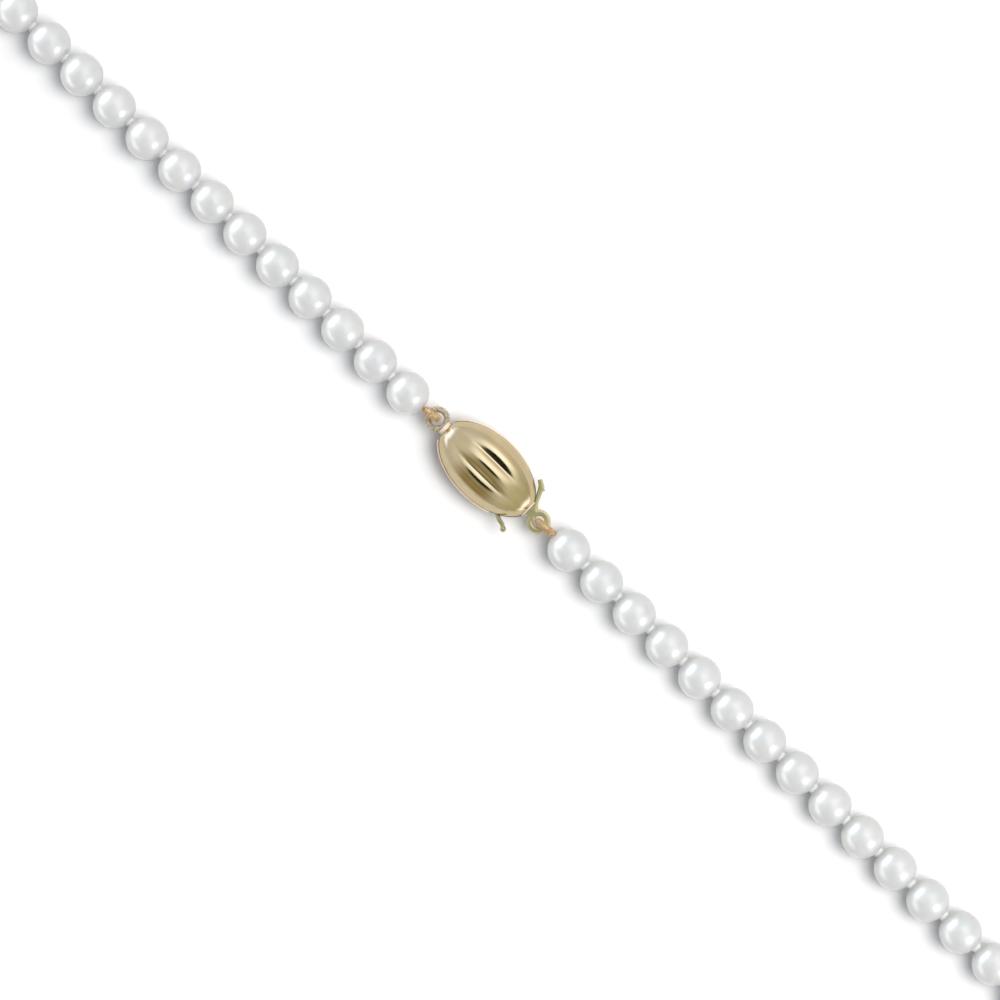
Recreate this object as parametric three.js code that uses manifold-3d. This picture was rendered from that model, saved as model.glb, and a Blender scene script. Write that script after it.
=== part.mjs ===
// A single strand of round pearls, knotted on silk, closed by a fluted gold hook clasp.
// Millimetres, +Z up. The strand lies flat in a D: the clasp is in the middle of the straight
// side, which runs along X, and the strand curves back round on the -Y side.
import * as THREE from 'three';
import { mergeVertices } from 'three/addons/utils/BufferGeometryUtils.js';
import Module from 'manifold-3d';

const wasm = await Module();
wasm.setup();

// ---------- driving dimensions ----------

// the strand
const PEARL_RADIUS = 2.25;
const PEARL_HOLE_RADIUS = 0.4;
const PEARL_PITCH = 4.714;
const FIRST_PEARL_X = 11.645;      // centre of the first pearl, on each side of the clasp
const PEARLS_PER_SIDE = 46;
const STRAIGHT_PEARLS = 14;        // these lie in line with the clasp, each made on its own
const SILK_RADIUS = 0.2;
const SILK_SIDES = 8;
const KNOT_RADIUS = 0.5;
const KNOT_HALF_LENGTH = 0.08;
const JOIN_GAP = 0.15;             // from a knot's middle to the start of the next run of silk
const RUN_END_GAP = 0.05;          // a run of pearls stops this far short of its last knot
const CORNER_TURN = THREE.MathUtils.degToRad(115);   // how far each end corner of the D turns
const PEARL_SIDES = 10;
const PEARL_ARCS = 6;
const RUN_SIDES = 8;
const RUN_ARCS = 4;

// the clasp's body, a melon of 10 flutes split along its middle by the hook's slot
const BODY_CENTRE_X = -0.26;
const BODY_CENTRE_Y = 0.09;
const BODY_HALF_LENGTH = 6.15;
const BODY_HALF_WIDTH = 3.52;
const BODY_TOP_HEIGHT = 2.75;
const BODY_BOTTOM_DEPTH = 2.33;
const BODY_LEFT_END_X = -6.05;
const BODY_RIGHT_END_X = 5.65;
const HALF_FLUTES = 5;
const FLUTE_TURN = 2.6 * Math.PI / 180;    // of the topmost crest, from straight up
const FLUTE_DEPTH = 0.14;                  // share of the radius
const FLUTE_DEPTH_LEAN = 0.055;            // deeper on the near side, shallower on the far side
const FLUTES_FULL_TO = 20 * Math.PI / 180; // from the top; from there the flutes fade out
const FLUTES_END_AT = 48 * Math.PI / 180;  // the flank beside the seam is smooth
const FLUTE_FADE = 3.5;                    // how soon they run out towards the ends
const POINTS_PER_FLUTE = 4;
const BODY_STATIONS = 14;
const INSIDE_STATIONS = 10;
const SHELL_WALL = 0.35;
const END_WALL = 0.55;
const SLOT_HALF_HEIGHT = 0.35;
const RIM_HALF_HEIGHT = 0.33;
const RIM_PROUD = 0.17;
const RIM_WIDTH = 1.0;
const RIM_POINTS = 40;
const RIM_END_X = 2.9;             // right of this the slot is open for the hook and its lever

// the fixed eye at the clasp's left end
const COLLAR_RADIUS = 0.8;
const COLLAR_FROM_X = -6.6;
const COLLAR_TO_X = -6.07;
const COLLAR_Y = 0.05;
const COLLAR_CLEARANCE = 0.02;     // round the eye's wire, which is let into the collar
const EYE_X = -7.55;
const EYE_Y = 0.2;
const EYE_RADIUS = 0.98;
const EYE_WIRE_RADIUS = 0.32;
const EYE_SIDES = 20;
const EYE_WIRE_SIDES = 8;

// the hook: a flat plate whose ring holds the strand and whose shank goes into the slot
const HOOK_RING_X = 7.34;
const HOOK_RING_Y = -0.1;
const HOOK_RING_RADIUS = 1.24;
const HOOK_RING_HOLE = 0.62;
const HOOK_HALF_THICKNESS = 0.25;
const ARM_WIDTH = 0.54;
const KNOB_X = 5.15;
const KNOB_Y = 2.62;
const KNOB_RADIUS = 0.34;
const SHANK_END_X = 1.55;
const SHANK_ROOT_X = 6.5;
const SHANK_WIDTH = 1.1;
const SHANK_Y = 0.05;
const LEAF_FROM_Z = 0.02;          // the shank and the lever are two thin leaves in the slot
const LEAF_TO_Z = 0.26;
const CUT_REACH = 1;                // holes are cut right through, from -1 to 1 mm
const POST_X = 1.0;
const POST_RADIUS = 0.4;
const POST_CLEARANCE = 0.06;
const POST_BOTTOM_Z = -1.1;
const POST_TOP_Z = 1.4;

// the sprung lever beside the hook, with a ball to press
const PIVOT_X = 2.5;
const PIVOT_RADIUS = 0.2;
const PIVOT_CLEARANCE = 0.05;
const PIVOT_HALF_LENGTH = 0.3;
const LEVER_EYE_RADIUS = 0.5;
const LEVER_WIDTH = 0.42;
const LEVER_BALL_RADIUS = 0.3;
const LEVER_BALL_X = 5.25;
const LEVER_BALL_Y = -3.25;

// the gimp, a tube of coiled gold wire that guards the silk where it goes through a ring
const GIMP_RADIUS = { left: 0.55, right: 0.46 };
const GIMP_RISE = { left: 1.12, right: 1 };            // how much higher it goes over a ring
const GIMP_END_RADIUS = { left: 0.28, right: 0.42 };   // where it goes into the first pearl
const GIMP_RING_RADIUS = 0.4;      // inside the ring
const GIMP_INSET = { left: 0.14, right: 0.2 };         // from the ring's centre to the gimp in it
const GIMP_TAPER = 0.2;            // the share of its length, from each end, over which it widens
const GIMP_SIDES = 8;
const GIMP_STEPS = 18;
const GIMP_END_X = 9.34;

// ---------- materials ----------

const material = (color, roughness, metalness) =>
  new THREE.MeshStandardMaterial({ color, roughness, metalness });
const pearlMaterial = material(0xe9e9e6, 0.22, 0);
const silkMaterial = material(0xe8dfd0, 0.85, 0);
const goldMaterial = material(0xd9bf8c, 0.16, 1);
const paleGoldMaterial = material(0xcfc890, 0.22, 1);
const eyeMaterial = material(0xdcc592, 0.4, 1);
const gimpMaterial = material(0xd9a060, 0.35, 1);

// ---------- solids ----------

function toSolid(geometry) {
  const bare = geometry.clone();
  bare.deleteAttribute('normal');
  bare.deleteAttribute('uv');
  const merged = mergeVertices(bare, 1e-4);
  const mesh = new wasm.Mesh({
    numProp: 3,
    vertProperties: new Float32Array(merged.attributes.position.array),
    triVerts: new Uint32Array(merged.index.array),
  });
  return new wasm.Manifold(mesh);
}

function toGeometry(solid) {
  const mesh = solid.getMesh();
  const geometry = new THREE.BufferGeometry();
  geometry.setAttribute('position', new THREE.BufferAttribute(mesh.vertProperties, 3));
  geometry.setIndex(new THREE.BufferAttribute(mesh.triVerts, 1));
  geometry.computeVertexNormals();
  return geometry;
}

function box(fromX, toX, fromY, toY, fromZ, toZ) {
  const geometry = new THREE.BoxGeometry(toX - fromX, toY - fromY, toZ - fromZ);
  return geometry.translate((fromX + toX) / 2, (fromY + toY) / 2, (fromZ + toZ) / 2);
}

function plate(shape, fromZ, toZ, curveSegments = 8) {
  const options = { depth: toZ - fromZ, bevelEnabled: false, curveSegments };
  return new THREE.ExtrudeGeometry(shape, options).translate(0, 0, fromZ);
}

function rod(radius, fromZ, toZ, sides = 12) {
  const geometry = new THREE.CylinderGeometry(radius, radius, toZ - fromZ, sides);
  return geometry.rotateX(Math.PI / 2).translate(0, 0, (fromZ + toZ) / 2);
}

// A lathe turns its profile about Y; here its axis is laid along +X, with one row of points
// straight down, so that a pearl stands on its lowest point.
function turned(profile, sides) {
  const lathe = new THREE.LatheGeometry(profile, sides);
  return lathe.rotateZ(-Math.PI / 2).rotateX(Math.PI);
}

// A strip of even width along a curve, with round ends.
function strip(points, width, steps) {
  const spine = new THREE.CatmullRomCurve3(points.map(([x, y]) => new THREE.Vector3(x, y, 0)));
  const side = (t, sign) => {
    const p = spine.getPoint(t);
    const d = spine.getTangent(t);
    return new THREE.Vector2(p.x - sign * d.y * width / 2, p.y + sign * d.x * width / 2);
  };
  const outline = [];
  for (let i = 0; i <= steps; i++) outline.push(side(i / steps, 1));
  for (let i = steps; i >= 0; i--) outline.push(side(i / steps, -1));
  return new THREE.Shape(outline);
}

function disc(x, y, radius) {
  const shape = new THREE.Shape();
  shape.absarc(x, y, radius, 0, 2 * Math.PI);
  return shape;
}

// ---------- the strand's line ----------

// On each side the line is straight, then a corner of radius cornerRadius, then half of the
// wide arc that closes the D. The radii follow from the number of pearls.
const straightLength = FIRST_PEARL_X + (STRAIGHT_PEARLS - 0.5) * PEARL_PITCH;
const curvedLength = (PEARLS_PER_SIDE - STRAIGHT_PEARLS) * PEARL_PITCH;
const radiusStep = straightLength / Math.sin(CORNER_TURN);
const cornerRadius = (curvedLength - radiusStep * (Math.PI - CORNER_TURN)) / Math.PI;
const arcRadius = cornerRadius + radiusStep;
const cornerLength = cornerRadius * CORNER_TURN;

// The point on the right side's line at a distance from the clasp's middle, and its heading.
function strandPoint(distance) {
  const past = distance - straightLength;
  if (past <= 0) return { x: distance, y: 0, turn: 0 };
  if (past <= cornerLength) {
    const turn = past / cornerRadius;
    const x = straightLength + cornerRadius * Math.sin(turn);
    return { x, y: cornerRadius * (Math.cos(turn) - 1), turn };
  }
  const turn = CORNER_TURN + (past - cornerLength) / arcRadius;
  const centreY = -cornerRadius - radiusStep * Math.cos(CORNER_TURN);
  return { x: arcRadius * Math.sin(turn), y: centreY + arcRadius * Math.cos(turn), turn };
}

const pearlDistance = (number) => FIRST_PEARL_X + (number - 1) * PEARL_PITCH;
const knotDistance = (number) => pearlDistance(number) + PEARL_PITCH / 2;

// ---------- pearls and silk ----------

function pearlGeometry() {
  const holeAngle = Math.asin(PEARL_HOLE_RADIUS / PEARL_RADIUS);
  const profile = [];
  for (let i = 0; i <= PEARL_ARCS; i++) {
    const angle = holeAngle + (Math.PI - 2 * holeAngle) * i / PEARL_ARCS;
    profile.push(new THREE.Vector2(PEARL_RADIUS * Math.sin(angle), -PEARL_RADIUS * Math.cos(angle)));
  }
  profile.push(profile[0].clone());
  return turned(profile, PEARL_SIDES);
}

// Silk from one pearl to another, with its knots, along the straight part of the strand. The
// last knot is kept, because the next run starts behind it.
function silkGeometry(firstPearl, lastPearl) {
  const start = firstPearl === 1 ? FIRST_PEARL_X - PEARL_RADIUS + JOIN_GAP
    : knotDistance(firstPearl - 1) + JOIN_GAP;
  const profile = [new THREE.Vector2(0, start), new THREE.Vector2(SILK_RADIUS, start)];
  for (let number = firstPearl; number <= lastPearl; number++) {
    const knot = knotDistance(number);
    profile.push(new THREE.Vector2(SILK_RADIUS, knot - KNOT_HALF_LENGTH));
    profile.push(new THREE.Vector2(KNOT_RADIUS, knot));
    profile.push(new THREE.Vector2(SILK_RADIUS, knot + KNOT_HALF_LENGTH));
  }
  profile.push(new THREE.Vector2(0, knotDistance(lastPearl) + KNOT_HALF_LENGTH));
  return turned(profile, SILK_SIDES);
}

// A run of pearls on their silk as one beaded solid, laid along the curve of the strand.
function runGeometry(firstPearl, lastPearl) {
  const start = knotDistance(firstPearl - 1) + JOIN_GAP;
  const profile = [new THREE.Vector2(0, start), new THREE.Vector2(SILK_RADIUS, start)];
  const edge = Math.asin(KNOT_RADIUS / PEARL_RADIUS);
  for (let number = firstPearl; number <= lastPearl; number++) {
    for (let i = 0; i <= RUN_ARCS; i++) {
      const angle = edge + (Math.PI - 2 * edge) * i / RUN_ARCS;
      const along = pearlDistance(number) - PEARL_RADIUS * Math.cos(angle);
      profile.push(new THREE.Vector2(PEARL_RADIUS * Math.sin(angle), along));
    }
  }
  const end = knotDistance(lastPearl) - RUN_END_GAP;
  profile.push(new THREE.Vector2(SILK_RADIUS, end), new THREE.Vector2(0, end));
  const geometry = turned(profile, RUN_SIDES);
  const position = geometry.attributes.position;
  for (let i = 0; i < position.count; i++) {
    const line = strandPoint(position.getX(i));
    const across = position.getY(i);
    position.setXY(i, line.x + across * Math.sin(line.turn), line.y + across * Math.cos(line.turn));
  }
  return geometry;
}

// ---------- the clasp's body ----------

// An egg about X of radius 1 at its widest, then stretched to the body's width and heights.
function melon(halfLength, shrink, stations, sides, fluted) {
  const profile = [];
  for (let i = 0; i <= stations; i++) {
    const angle = Math.PI * i / stations;
    const radius = i % stations === 0 ? 0 : Math.sin(angle);
    profile.push(new THREE.Vector2(radius, -halfLength * Math.cos(angle)));
  }
  const geometry = turned(profile, sides);
  const position = geometry.attributes.position;
  for (let i = 0; i < position.count; i++) {
    const y = position.getY(i);
    const z = position.getZ(i);
    const radius = Math.hypot(y, z);
    const fromCrest = Math.atan2(y, z);
    const around = fromCrest + (fluted ? FLUTE_TURN : 0);
    const valley = 1 - Math.abs(Math.cos(HALF_FLUTES * fromCrest));
    const upright = Math.abs(Math.cos(around));
    const share = THREE.MathUtils.smoothstep(upright, Math.cos(FLUTES_END_AT),
      Math.cos(FLUTES_FULL_TO));
    const depth = fluted ? (FLUTE_DEPTH - FLUTE_DEPTH_LEAN * Math.sin(around)) * share : 0;
    const size = radius * (1 - depth * radius ** FLUTE_FADE * valley);
    const height = (Math.cos(around) > 0 ? BODY_TOP_HEIGHT : BODY_BOTTOM_DEPTH) - shrink;
    const width = BODY_HALF_WIDTH - shrink;
    position.setXYZ(i, position.getX(i) + BODY_CENTRE_X,
      size * Math.sin(around) * width + BODY_CENTRE_Y, size * Math.cos(around) * height);
  }
  return toSolid(geometry);
}

// The upper or the lower half of the body: a thin fluted shell with flat ends.
function shellGeometry(fromZ, toZ) {
  const sides = 2 * HALF_FLUTES * POINTS_PER_FLUTE;
  const outside = melon(BODY_HALF_LENGTH, 0, BODY_STATIONS, sides, true);
  const inside = melon(BODY_HALF_LENGTH - END_WALL, SHELL_WALL + FLUTE_DEPTH * BODY_HALF_WIDTH,
    INSIDE_STATIONS, sides / 2, false);
  const reach = 2 * BODY_HALF_WIDTH;
  const slab = toSolid(box(BODY_LEFT_END_X, BODY_RIGHT_END_X, -reach, reach, fromZ, toZ));
  return toGeometry(outside.subtract(inside).intersect(slab));
}

// The band that joins the two shells, open at the right for the hook and its lever.
function rimGeometry() {
  const ellipse = (halfLength, halfWidth) => new THREE.EllipseCurve(
    BODY_CENTRE_X, BODY_CENTRE_Y, halfLength, halfWidth, 0, 2 * Math.PI).getPoints(RIM_POINTS);
  const outline = new THREE.Shape(
    ellipse(BODY_HALF_LENGTH + RIM_PROUD, BODY_HALF_WIDTH + RIM_PROUD));
  const innerLength = BODY_HALF_LENGTH - RIM_WIDTH;
  outline.holes.push(new THREE.Path(ellipse(innerLength, BODY_HALF_WIDTH - RIM_WIDTH)));
  const reach = 2 * BODY_HALF_WIDTH;
  const kept = box(BODY_LEFT_END_X, RIM_END_X, -reach, reach, -CUT_REACH, CUT_REACH);
  const band = toSolid(plate(outline, -RIM_HALF_HEIGHT, RIM_HALF_HEIGHT));
  return toGeometry(band.intersect(toSolid(kept)));
}

// The collar, with a notch in its face that the eye's wire sits in.
function collarGeometry() {
  const length = COLLAR_TO_X - COLLAR_FROM_X;
  const cylinder = new THREE.CylinderGeometry(COLLAR_RADIUS, COLLAR_RADIUS, length, EYE_SIDES);
  cylinder.rotateZ(Math.PI / 2).translate((COLLAR_FROM_X + COLLAR_TO_X) / 2, COLLAR_Y, 0);
  return toGeometry(toSolid(cylinder).subtract(toSolid(eyeRingGeometry(COLLAR_CLEARANCE))));
}

// The eye is a plain ring; the clearance makes it a little thicker, to cut its notch.
function eyeRingGeometry(clearance = 0) {
  const wire = EYE_WIRE_RADIUS + clearance;
  const profile = [];
  for (let i = 0; i <= EYE_WIRE_SIDES; i++) {
    const angle = 2 * Math.PI * (i % EYE_WIRE_SIDES) / EYE_WIRE_SIDES;
    profile.push(new THREE.Vector2(EYE_RADIUS + wire * Math.cos(angle), wire * Math.sin(angle)));
  }
  const ring = new THREE.LatheGeometry(profile, EYE_SIDES);
  return ring.rotateX(Math.PI / 2).translate(EYE_X, EYE_Y, 0);
}

// The post inside the body that the end of the hook seats on.
function postGeometry() {
  return rod(POST_RADIUS, POST_BOTTOM_Z, POST_TOP_Z).translate(POST_X, SHANK_Y, 0);
}

// ---------- the hook and its lever ----------

function hookGeometry() {
  const ring = plate(disc(HOOK_RING_X, HOOK_RING_Y, HOOK_RING_RADIUS),
    -HOOK_HALF_THICKNESS, HOOK_HALF_THICKNESS, 14);
  const hole = rod(HOOK_RING_HOLE, -CUT_REACH, CUT_REACH, 16).translate(HOOK_RING_X, HOOK_RING_Y, 0);
  // from the ring round the right end of the body to the small thumb knob
  const armLine = [[6.6, -0.2], [6.05, 0.55], [5.72, 1.25], [5.3, 2.2], [5.0, 2.75], [4.45, 3.1]];
  const arm = plate(strip(armLine, ARM_WIDTH, 12), -HOOK_HALF_THICKNESS, HOOK_HALF_THICKNESS);
  const knob = plate(disc(KNOB_X, KNOB_Y, KNOB_RADIUS), -HOOK_HALF_THICKNESS, HOOK_HALF_THICKNESS, 6);
  const shank = box(SHANK_END_X - POST_RADIUS, SHANK_ROOT_X,
    SHANK_Y - SHANK_WIDTH / 2, SHANK_Y + SHANK_WIDTH / 2, LEAF_FROM_Z, LEAF_TO_Z);
  const seat = rod(POST_RADIUS + POST_CLEARANCE, -CUT_REACH, CUT_REACH)
    .translate(POST_X, SHANK_Y, 0);
  const pivotHole = rod(PIVOT_RADIUS + PIVOT_CLEARANCE, -CUT_REACH, CUT_REACH)
    .translate(PIVOT_X, SHANK_Y, 0);
  const solid = toSolid(ring).add(toSolid(arm)).add(toSolid(knob)).add(toSolid(shank))
    .subtract(toSolid(hole)).subtract(toSolid(seat)).subtract(toSolid(pivotHole));
  return toGeometry(solid);
}

function rivetGeometry() {
  return rod(PIVOT_RADIUS, -PIVOT_HALF_LENGTH, PIVOT_HALF_LENGTH).translate(PIVOT_X, SHANK_Y, 0);
}

// The lever swings on the rivet, comes out of the slot below the body and ends in a ball.
function leverGeometry() {
  const line = [[PIVOT_X, SHANK_Y], [2.9, -1.3], [3.5, -2.35], [4.3, -2.85],
    [4.9, -2.98], [LEVER_BALL_X, LEVER_BALL_Y]];
  const leaf = plate(strip(line, LEVER_WIDTH, 14), -LEAF_TO_Z, -LEAF_FROM_Z);
  const eye = plate(disc(PIVOT_X, SHANK_Y, LEVER_EYE_RADIUS), -LEAF_TO_Z, -LEAF_FROM_Z);
  const hole = rod(PIVOT_RADIUS + PIVOT_CLEARANCE, -CUT_REACH, CUT_REACH)
    .translate(PIVOT_X, SHANK_Y, 0);
  const ball = new THREE.SphereGeometry(LEVER_BALL_RADIUS, 10, 6)
    .translate(LEVER_BALL_X, LEVER_BALL_Y, 0);
  const solid = toSolid(leaf).add(toSolid(eye)).add(toSolid(ball)).subtract(toSolid(hole));
  return toGeometry(solid);
}

// A loop of gimp in the upright plane: out of the first pearl, over the ring's rim, down
// through its hole and back below.
function gimpGeometry(name, ringX, ringY) {
  const side = Math.sign(ringX);
  const top = [[GIMP_END_X, 0.42], [8.95, 0.68], [8.3, 0.83], [7.74, 0.68], [7.42, 0.34]];
  const inner = Math.abs(ringX) + GIMP_INSET[name];
  const point = ([x, z]) => {
    const share = (GIMP_END_X - x) / (GIMP_END_X - inner);
    const shift = Math.abs(ringX) - HOOK_RING_X;
    return new THREE.Vector3(side * (x + shift * share), ringY * share, z * GIMP_RISE[name]);
  };
  const points = top.map(point);
  points.push(new THREE.Vector3(side * inner, ringY, 0));
  for (const [x, z] of [...top].reverse()) points.push(point([x, -z]));
  return taperedTube(new THREE.CatmullRomCurve3(points), GIMP_END_RADIUS[name], GIMP_RADIUS[name]);
}

// A closed tube along a curve in an upright plane, thinner towards both of its ends.
function taperedTube(curve, endRadius, fullRadius) {
  const first = curve.getPointAt(0);
  const last = curve.getPointAt(0.5);
  const flat = new THREE.Vector3(-(last.y - first.y), last.x - first.x, 0).normalize();
  const corners = [];
  for (let i = 0; i <= GIMP_STEPS; i++) {
    const share = i / GIMP_STEPS;
    const middle = curve.getPointAt(share);
    const other = curve.getTangentAt(share).cross(flat).normalize();
    const fromEnd = Math.min(share, 1 - share);
    const widened = THREE.MathUtils.smoothstep(fromEnd, 0, GIMP_TAPER);
    const narrowed = THREE.MathUtils.smoothstep(fromEnd, GIMP_TAPER, 0.5);
    const radius = THREE.MathUtils.lerp(endRadius, fullRadius, widened)
      - (fullRadius - GIMP_RING_RADIUS) * narrowed;
    for (let k = 0; k < GIMP_SIDES; k++) {
      const angle = 2 * Math.PI * k / GIMP_SIDES;
      corners.push(middle.clone().addScaledVector(flat, radius * Math.cos(angle))
        .addScaledVector(other, radius * Math.sin(angle)));
    }
  }
  const faces = [];
  for (let i = 0; i < GIMP_STEPS; i++) {
    for (let k = 0; k < GIMP_SIDES; k++) {
      const a = i * GIMP_SIDES + k;
      const b = i * GIMP_SIDES + (k + 1) % GIMP_SIDES;
      faces.push(a, b, a + GIMP_SIDES, b, b + GIMP_SIDES, a + GIMP_SIDES);
    }
  }
  const end = GIMP_STEPS * GIMP_SIDES;
  for (let k = 1; k < GIMP_SIDES - 1; k++) {
    faces.push(0, k + 1, k, end, end + k, end + k + 1);
  }
  const geometry = new THREE.BufferGeometry().setFromPoints(corners);
  geometry.setIndex(faces);
  return toGeometry(toSolid(geometry));
}

// ---------- assembly ----------

const necklace = new THREE.Group();

function addMesh(name, geometry, surface) {
  const mesh = new THREE.Mesh(geometry, surface);
  mesh.name = name;
  necklace.add(mesh);
  return mesh;
}

const padZ = -PEARL_RADIUS;        // the clasp's underside is flat where it rests
addMesh('clasp_top_shell', shellGeometry(SLOT_HALF_HEIGHT, 2 * BODY_TOP_HEIGHT), goldMaterial);
addMesh('clasp_bottom_shell', shellGeometry(padZ, -SLOT_HALF_HEIGHT), goldMaterial);
addMesh('seam_rim', rimGeometry(), goldMaterial);
addMesh('end_collar', collarGeometry(), goldMaterial);
addMesh('eye_ring', eyeRingGeometry(), eyeMaterial);
addMesh('catch_post', postGeometry(), paleGoldMaterial);
addMesh('hook_plate', hookGeometry(), paleGoldMaterial);
addMesh('lever_rivet', rivetGeometry(), paleGoldMaterial);
addMesh('release_lever', leverGeometry(), paleGoldMaterial);
addMesh('left_gimp_loop', gimpGeometry('left', EYE_X, EYE_Y), gimpMaterial);
addMesh('right_gimp_loop', gimpGeometry('right', HOOK_RING_X, HOOK_RING_Y), gimpMaterial);

const sides = [['left', -1], ['right', 1]];
const pearl = pearlGeometry();
for (const [name, sign] of sides) {
  for (let number = 1; number <= STRAIGHT_PEARLS; number++) {
    const mesh = addMesh(`${name}_pearl_${String(number).padStart(2, '0')}`, pearl, pearlMaterial);
    mesh.position.x = sign * pearlDistance(number);
  }
}

// The left side is the right side's geometry mirrored, with its faces turned to point out again.
function leftHand(geometry) {
  const mirrored = geometry.clone().scale(-1, 1, 1);
  const index = mirrored.index.array;
  for (let i = 0; i < index.length; i += 3) [index[i], index[i + 1]] = [index[i + 1], index[i]];
  return mirrored;
}

// Each run goes from one knot where the strand bends to the next, by pearl numbers.
const silkRuns = { left: [[1, 14]], right: [[1, 8], [9, 14]] };
const pearlRuns = {
  left: [[15, 20], [21, 26], [27, 36], [37, 46]],
  right: [[15, 17], [18, 20], [21, 23], [24, 26], [27, 32], [33, 36], [37, 46]],
};
for (const [name, sign] of sides) {
  const handed = (geometry) => (sign < 0 ? leftHand(geometry) : geometry);
  silkRuns[name].forEach(([first, last]) => {
    addMesh(`${name}_silk_${first}_to_${last}`, handed(silkGeometry(first, last)), silkMaterial);
  });
  pearlRuns[name].forEach(([first, last]) => {
    addMesh(`${name}_pearls_${first}_to_${last}`, handed(runGeometry(first, last)), pearlMaterial);
  });
}

// The origin is under the middle of the whole necklace, on the surface that it lies on.
const bounds = new THREE.Box3().setFromObject(necklace, true);
const middle = bounds.getCenter(new THREE.Vector3());
necklace.position.set(-middle.x, -middle.y, -bounds.min.z);

export default necklace;
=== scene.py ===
"""A strand of round pearls knotted on silk, with a fluted gold hook clasp.

Shapes are worked out in millimetres about the clasp's middle, on the strand's line, and placed in
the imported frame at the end. The strand's straight side runs along X.
"""

import math

import bmesh
import bpy
from mathutils import Matrix, Vector, noise


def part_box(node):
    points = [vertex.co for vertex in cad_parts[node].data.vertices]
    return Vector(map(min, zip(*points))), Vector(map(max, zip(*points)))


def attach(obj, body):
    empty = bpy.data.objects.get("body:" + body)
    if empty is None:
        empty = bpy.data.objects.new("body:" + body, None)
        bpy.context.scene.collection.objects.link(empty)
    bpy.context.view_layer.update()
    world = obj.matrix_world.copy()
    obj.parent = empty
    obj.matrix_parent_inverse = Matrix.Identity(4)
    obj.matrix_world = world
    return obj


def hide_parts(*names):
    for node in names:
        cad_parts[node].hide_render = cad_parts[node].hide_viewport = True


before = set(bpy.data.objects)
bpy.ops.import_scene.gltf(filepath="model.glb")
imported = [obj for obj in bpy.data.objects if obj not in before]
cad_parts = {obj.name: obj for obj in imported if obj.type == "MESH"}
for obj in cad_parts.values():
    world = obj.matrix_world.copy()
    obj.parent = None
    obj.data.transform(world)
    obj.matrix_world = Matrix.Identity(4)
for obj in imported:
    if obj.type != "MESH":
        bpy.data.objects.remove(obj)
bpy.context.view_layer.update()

MM = 0.001
ALONG = Vector((1, 0, 0))
ACROSS = Vector((0, 1, 0))
UP = Vector((0, 0, 1))

# ---------- the strand, as in the CAD model ----------

PEARL_RADIUS = 2.25
PEARL_HOLE = 0.4
PITCH = 4.714
FIRST_PEARL = 11.645     # its centre, from the clasp's middle
PER_SIDE = 46
STRAIGHT = 14            # pearls on each side before its corner
CORNER_TURN = math.radians(115)
SILK_RADIUS = 0.17
SIDES = (("left", -1), ("right", 1))
# The first and last pearl of each run: a run is one body, and the knots between runs are hinges.
RUNS = {
    "left": [(1, 14), (15, 20), (21, 26), (27, 36), (37, 46)],
    "right": [(1, 8), (9, 14), (15, 17), (18, 20), (21, 23), (24, 26), (27, 32), (33, 36), (37, 46)],
}

# Each side is a straight stretch, a corner, and an arc whose centre is on the loop's mirror line.
STRAIGHT_LENGTH = FIRST_PEARL + (STRAIGHT - 0.5) * PITCH
CURVED_LENGTH = (PER_SIDE - STRAIGHT) * PITCH
RADIUS_STEP = STRAIGHT_LENGTH / math.sin(CORNER_TURN)
CORNER_RADIUS = (CURVED_LENGTH - RADIUS_STEP * (math.pi - CORNER_TURN)) / math.pi
ARC_RADIUS = CORNER_RADIUS + RADIUS_STEP

# ---------- the clasp, as in the CAD model ----------

BODY_CENTRE = Vector((-0.26, 0.09, 0))
BODY_HALF_LENGTH = 6.15
BODY_HALF_WIDTH = 3.52
BODY_TOP = 2.75
BODY_BOTTOM = 2.33
BODY_ENDS = (-6.05, 5.65)
SHELL_WALL = 0.3
SLOT_HALF_HEIGHT = 0.35
FLUTES = 5                             # on each half of the body
FLUTE_TURN = math.radians(2.6)         # of the topmost crest, from straight up
FLUTE_DEPTH = 0.14
FLUTE_DEPTH_LEAN = 0.055               # how much deeper they are on the near side
FLUTES_FULL_TO = math.radians(20)      # from straight up
FLUTES_END_AT = math.radians(48)
FLUTE_FADE = 3.5                       # how soon they run out towards the ends
RIM_PROUD = 0.17
RIM_END_X = 2.9
COLLAR_Y = 0.05
EYE = Vector((-7.55, 0.2, 0))
EYE_RADIUS = 0.98
HOOK_RING = Vector((7.34, -0.1, 0))
HOOK_RING_OUTER = 1.24
HOOK_RING_HOLE = 0.62
PIVOT = Vector((2.5, 0.05, 0))         # of the lever

# The strand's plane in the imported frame: its origin is midway between the two first pearls.
left_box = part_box("left_pearl_01")
right_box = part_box("right_pearl_01")
ORIGIN = (left_box[0] + left_box[1] + right_box[0] + right_box[1]) / 4
PLACE = Matrix.Translation(ORIGIN) @ Matrix.Scale(MM, 4)

# ---------- camera ----------

# The camera looks straight down. The strand runs from upper left to lower right in the picture.
STRAND_SLOPE = math.radians(44.3)
VIEW_WIDTH = 103.45
VIEW_CENTRE = (1.193, -2.964)  # from the clasp's middle, along the picture's right and up
LENS = 200
SENSOR = 36


def picture_direction(right, up):
    """A direction on the table, given along the picture's right and up."""
    c, s = math.cos(STRAND_SLOPE), math.sin(STRAND_SLOPE)
    return Vector((right * c - up * s, right * s + up * c, 0))


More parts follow.
